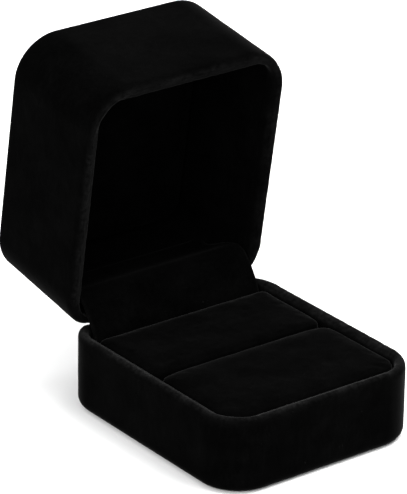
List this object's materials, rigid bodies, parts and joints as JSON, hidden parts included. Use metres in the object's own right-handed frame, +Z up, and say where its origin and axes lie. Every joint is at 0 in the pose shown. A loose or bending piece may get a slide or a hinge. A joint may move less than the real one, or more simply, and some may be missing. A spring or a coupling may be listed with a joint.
{
  "type": "ring box",
  "caption": "Small velvet ring box with a hinged lid that stands open, two pads with a ring slot between them and a lined lid.",
  "frame": {"origin": "centre of the lower box's underside", "axes": "+Z up, the box's front and ring slot towards -Y, the hinge axis along X at the back"},
  "size_m": [0.05, 0.0827, 0.075],
  "materials": {
    "outer_velvet": "short-pile black velvet glued over the shells",
    "pad_velvet": "soft black velvet over foam",
    "lining_velvet": "black velvet lining",
    "bottom_card": "black flocked card",
    "inner_card": "grey-brown board",
    "foam": "soft foam",
    "shell_plastic": "moulded black plastic",
    "hinge_steel": "zinc-plated sheet steel",
    "spring_steel": "blued spring steel"
  },
  "bodies": {
    "base": {"base_shell": "shell_plastic", "base_cover": "outer_velvet", "base_bottom_sheet": "bottom_card", "insert_board": "inner_card", "front_foam": "foam", "rear_foam": "foam", "front_pad_cover": "pad_velvet", "rear_pad_cover": "pad_velvet", "hinge_base_leaf": "hinge_steel", "hinge_base_rivets": "hinge_steel", "hinge_pin": "hinge_steel", "hinge_spring": "spring_steel", "hinge_cover_strip": "lining_velvet"},
    "lid": {"lid_shell": "shell_plastic", "lid_cover": "outer_velvet", "lid_side_lining": "lining_velvet", "lid_top_board": "inner_card", "lid_top_pad": "foam", "lid_top_lining": "lining_velvet", "hinge_lid_leaf": "hinge_steel", "hinge_lid_rivets": "hinge_steel"}
  },
  "joints": [
    {"name": "lid_hinge", "type": "hinge", "parent": "base", "child": "lid", "pos_m": [0, 0.0259, 0.0171], "axis": [1, 0, 0], "range_deg": [0, 80.8], "deforming": ["hinge_spring", "hinge_cover_strip"]}
  ]
}
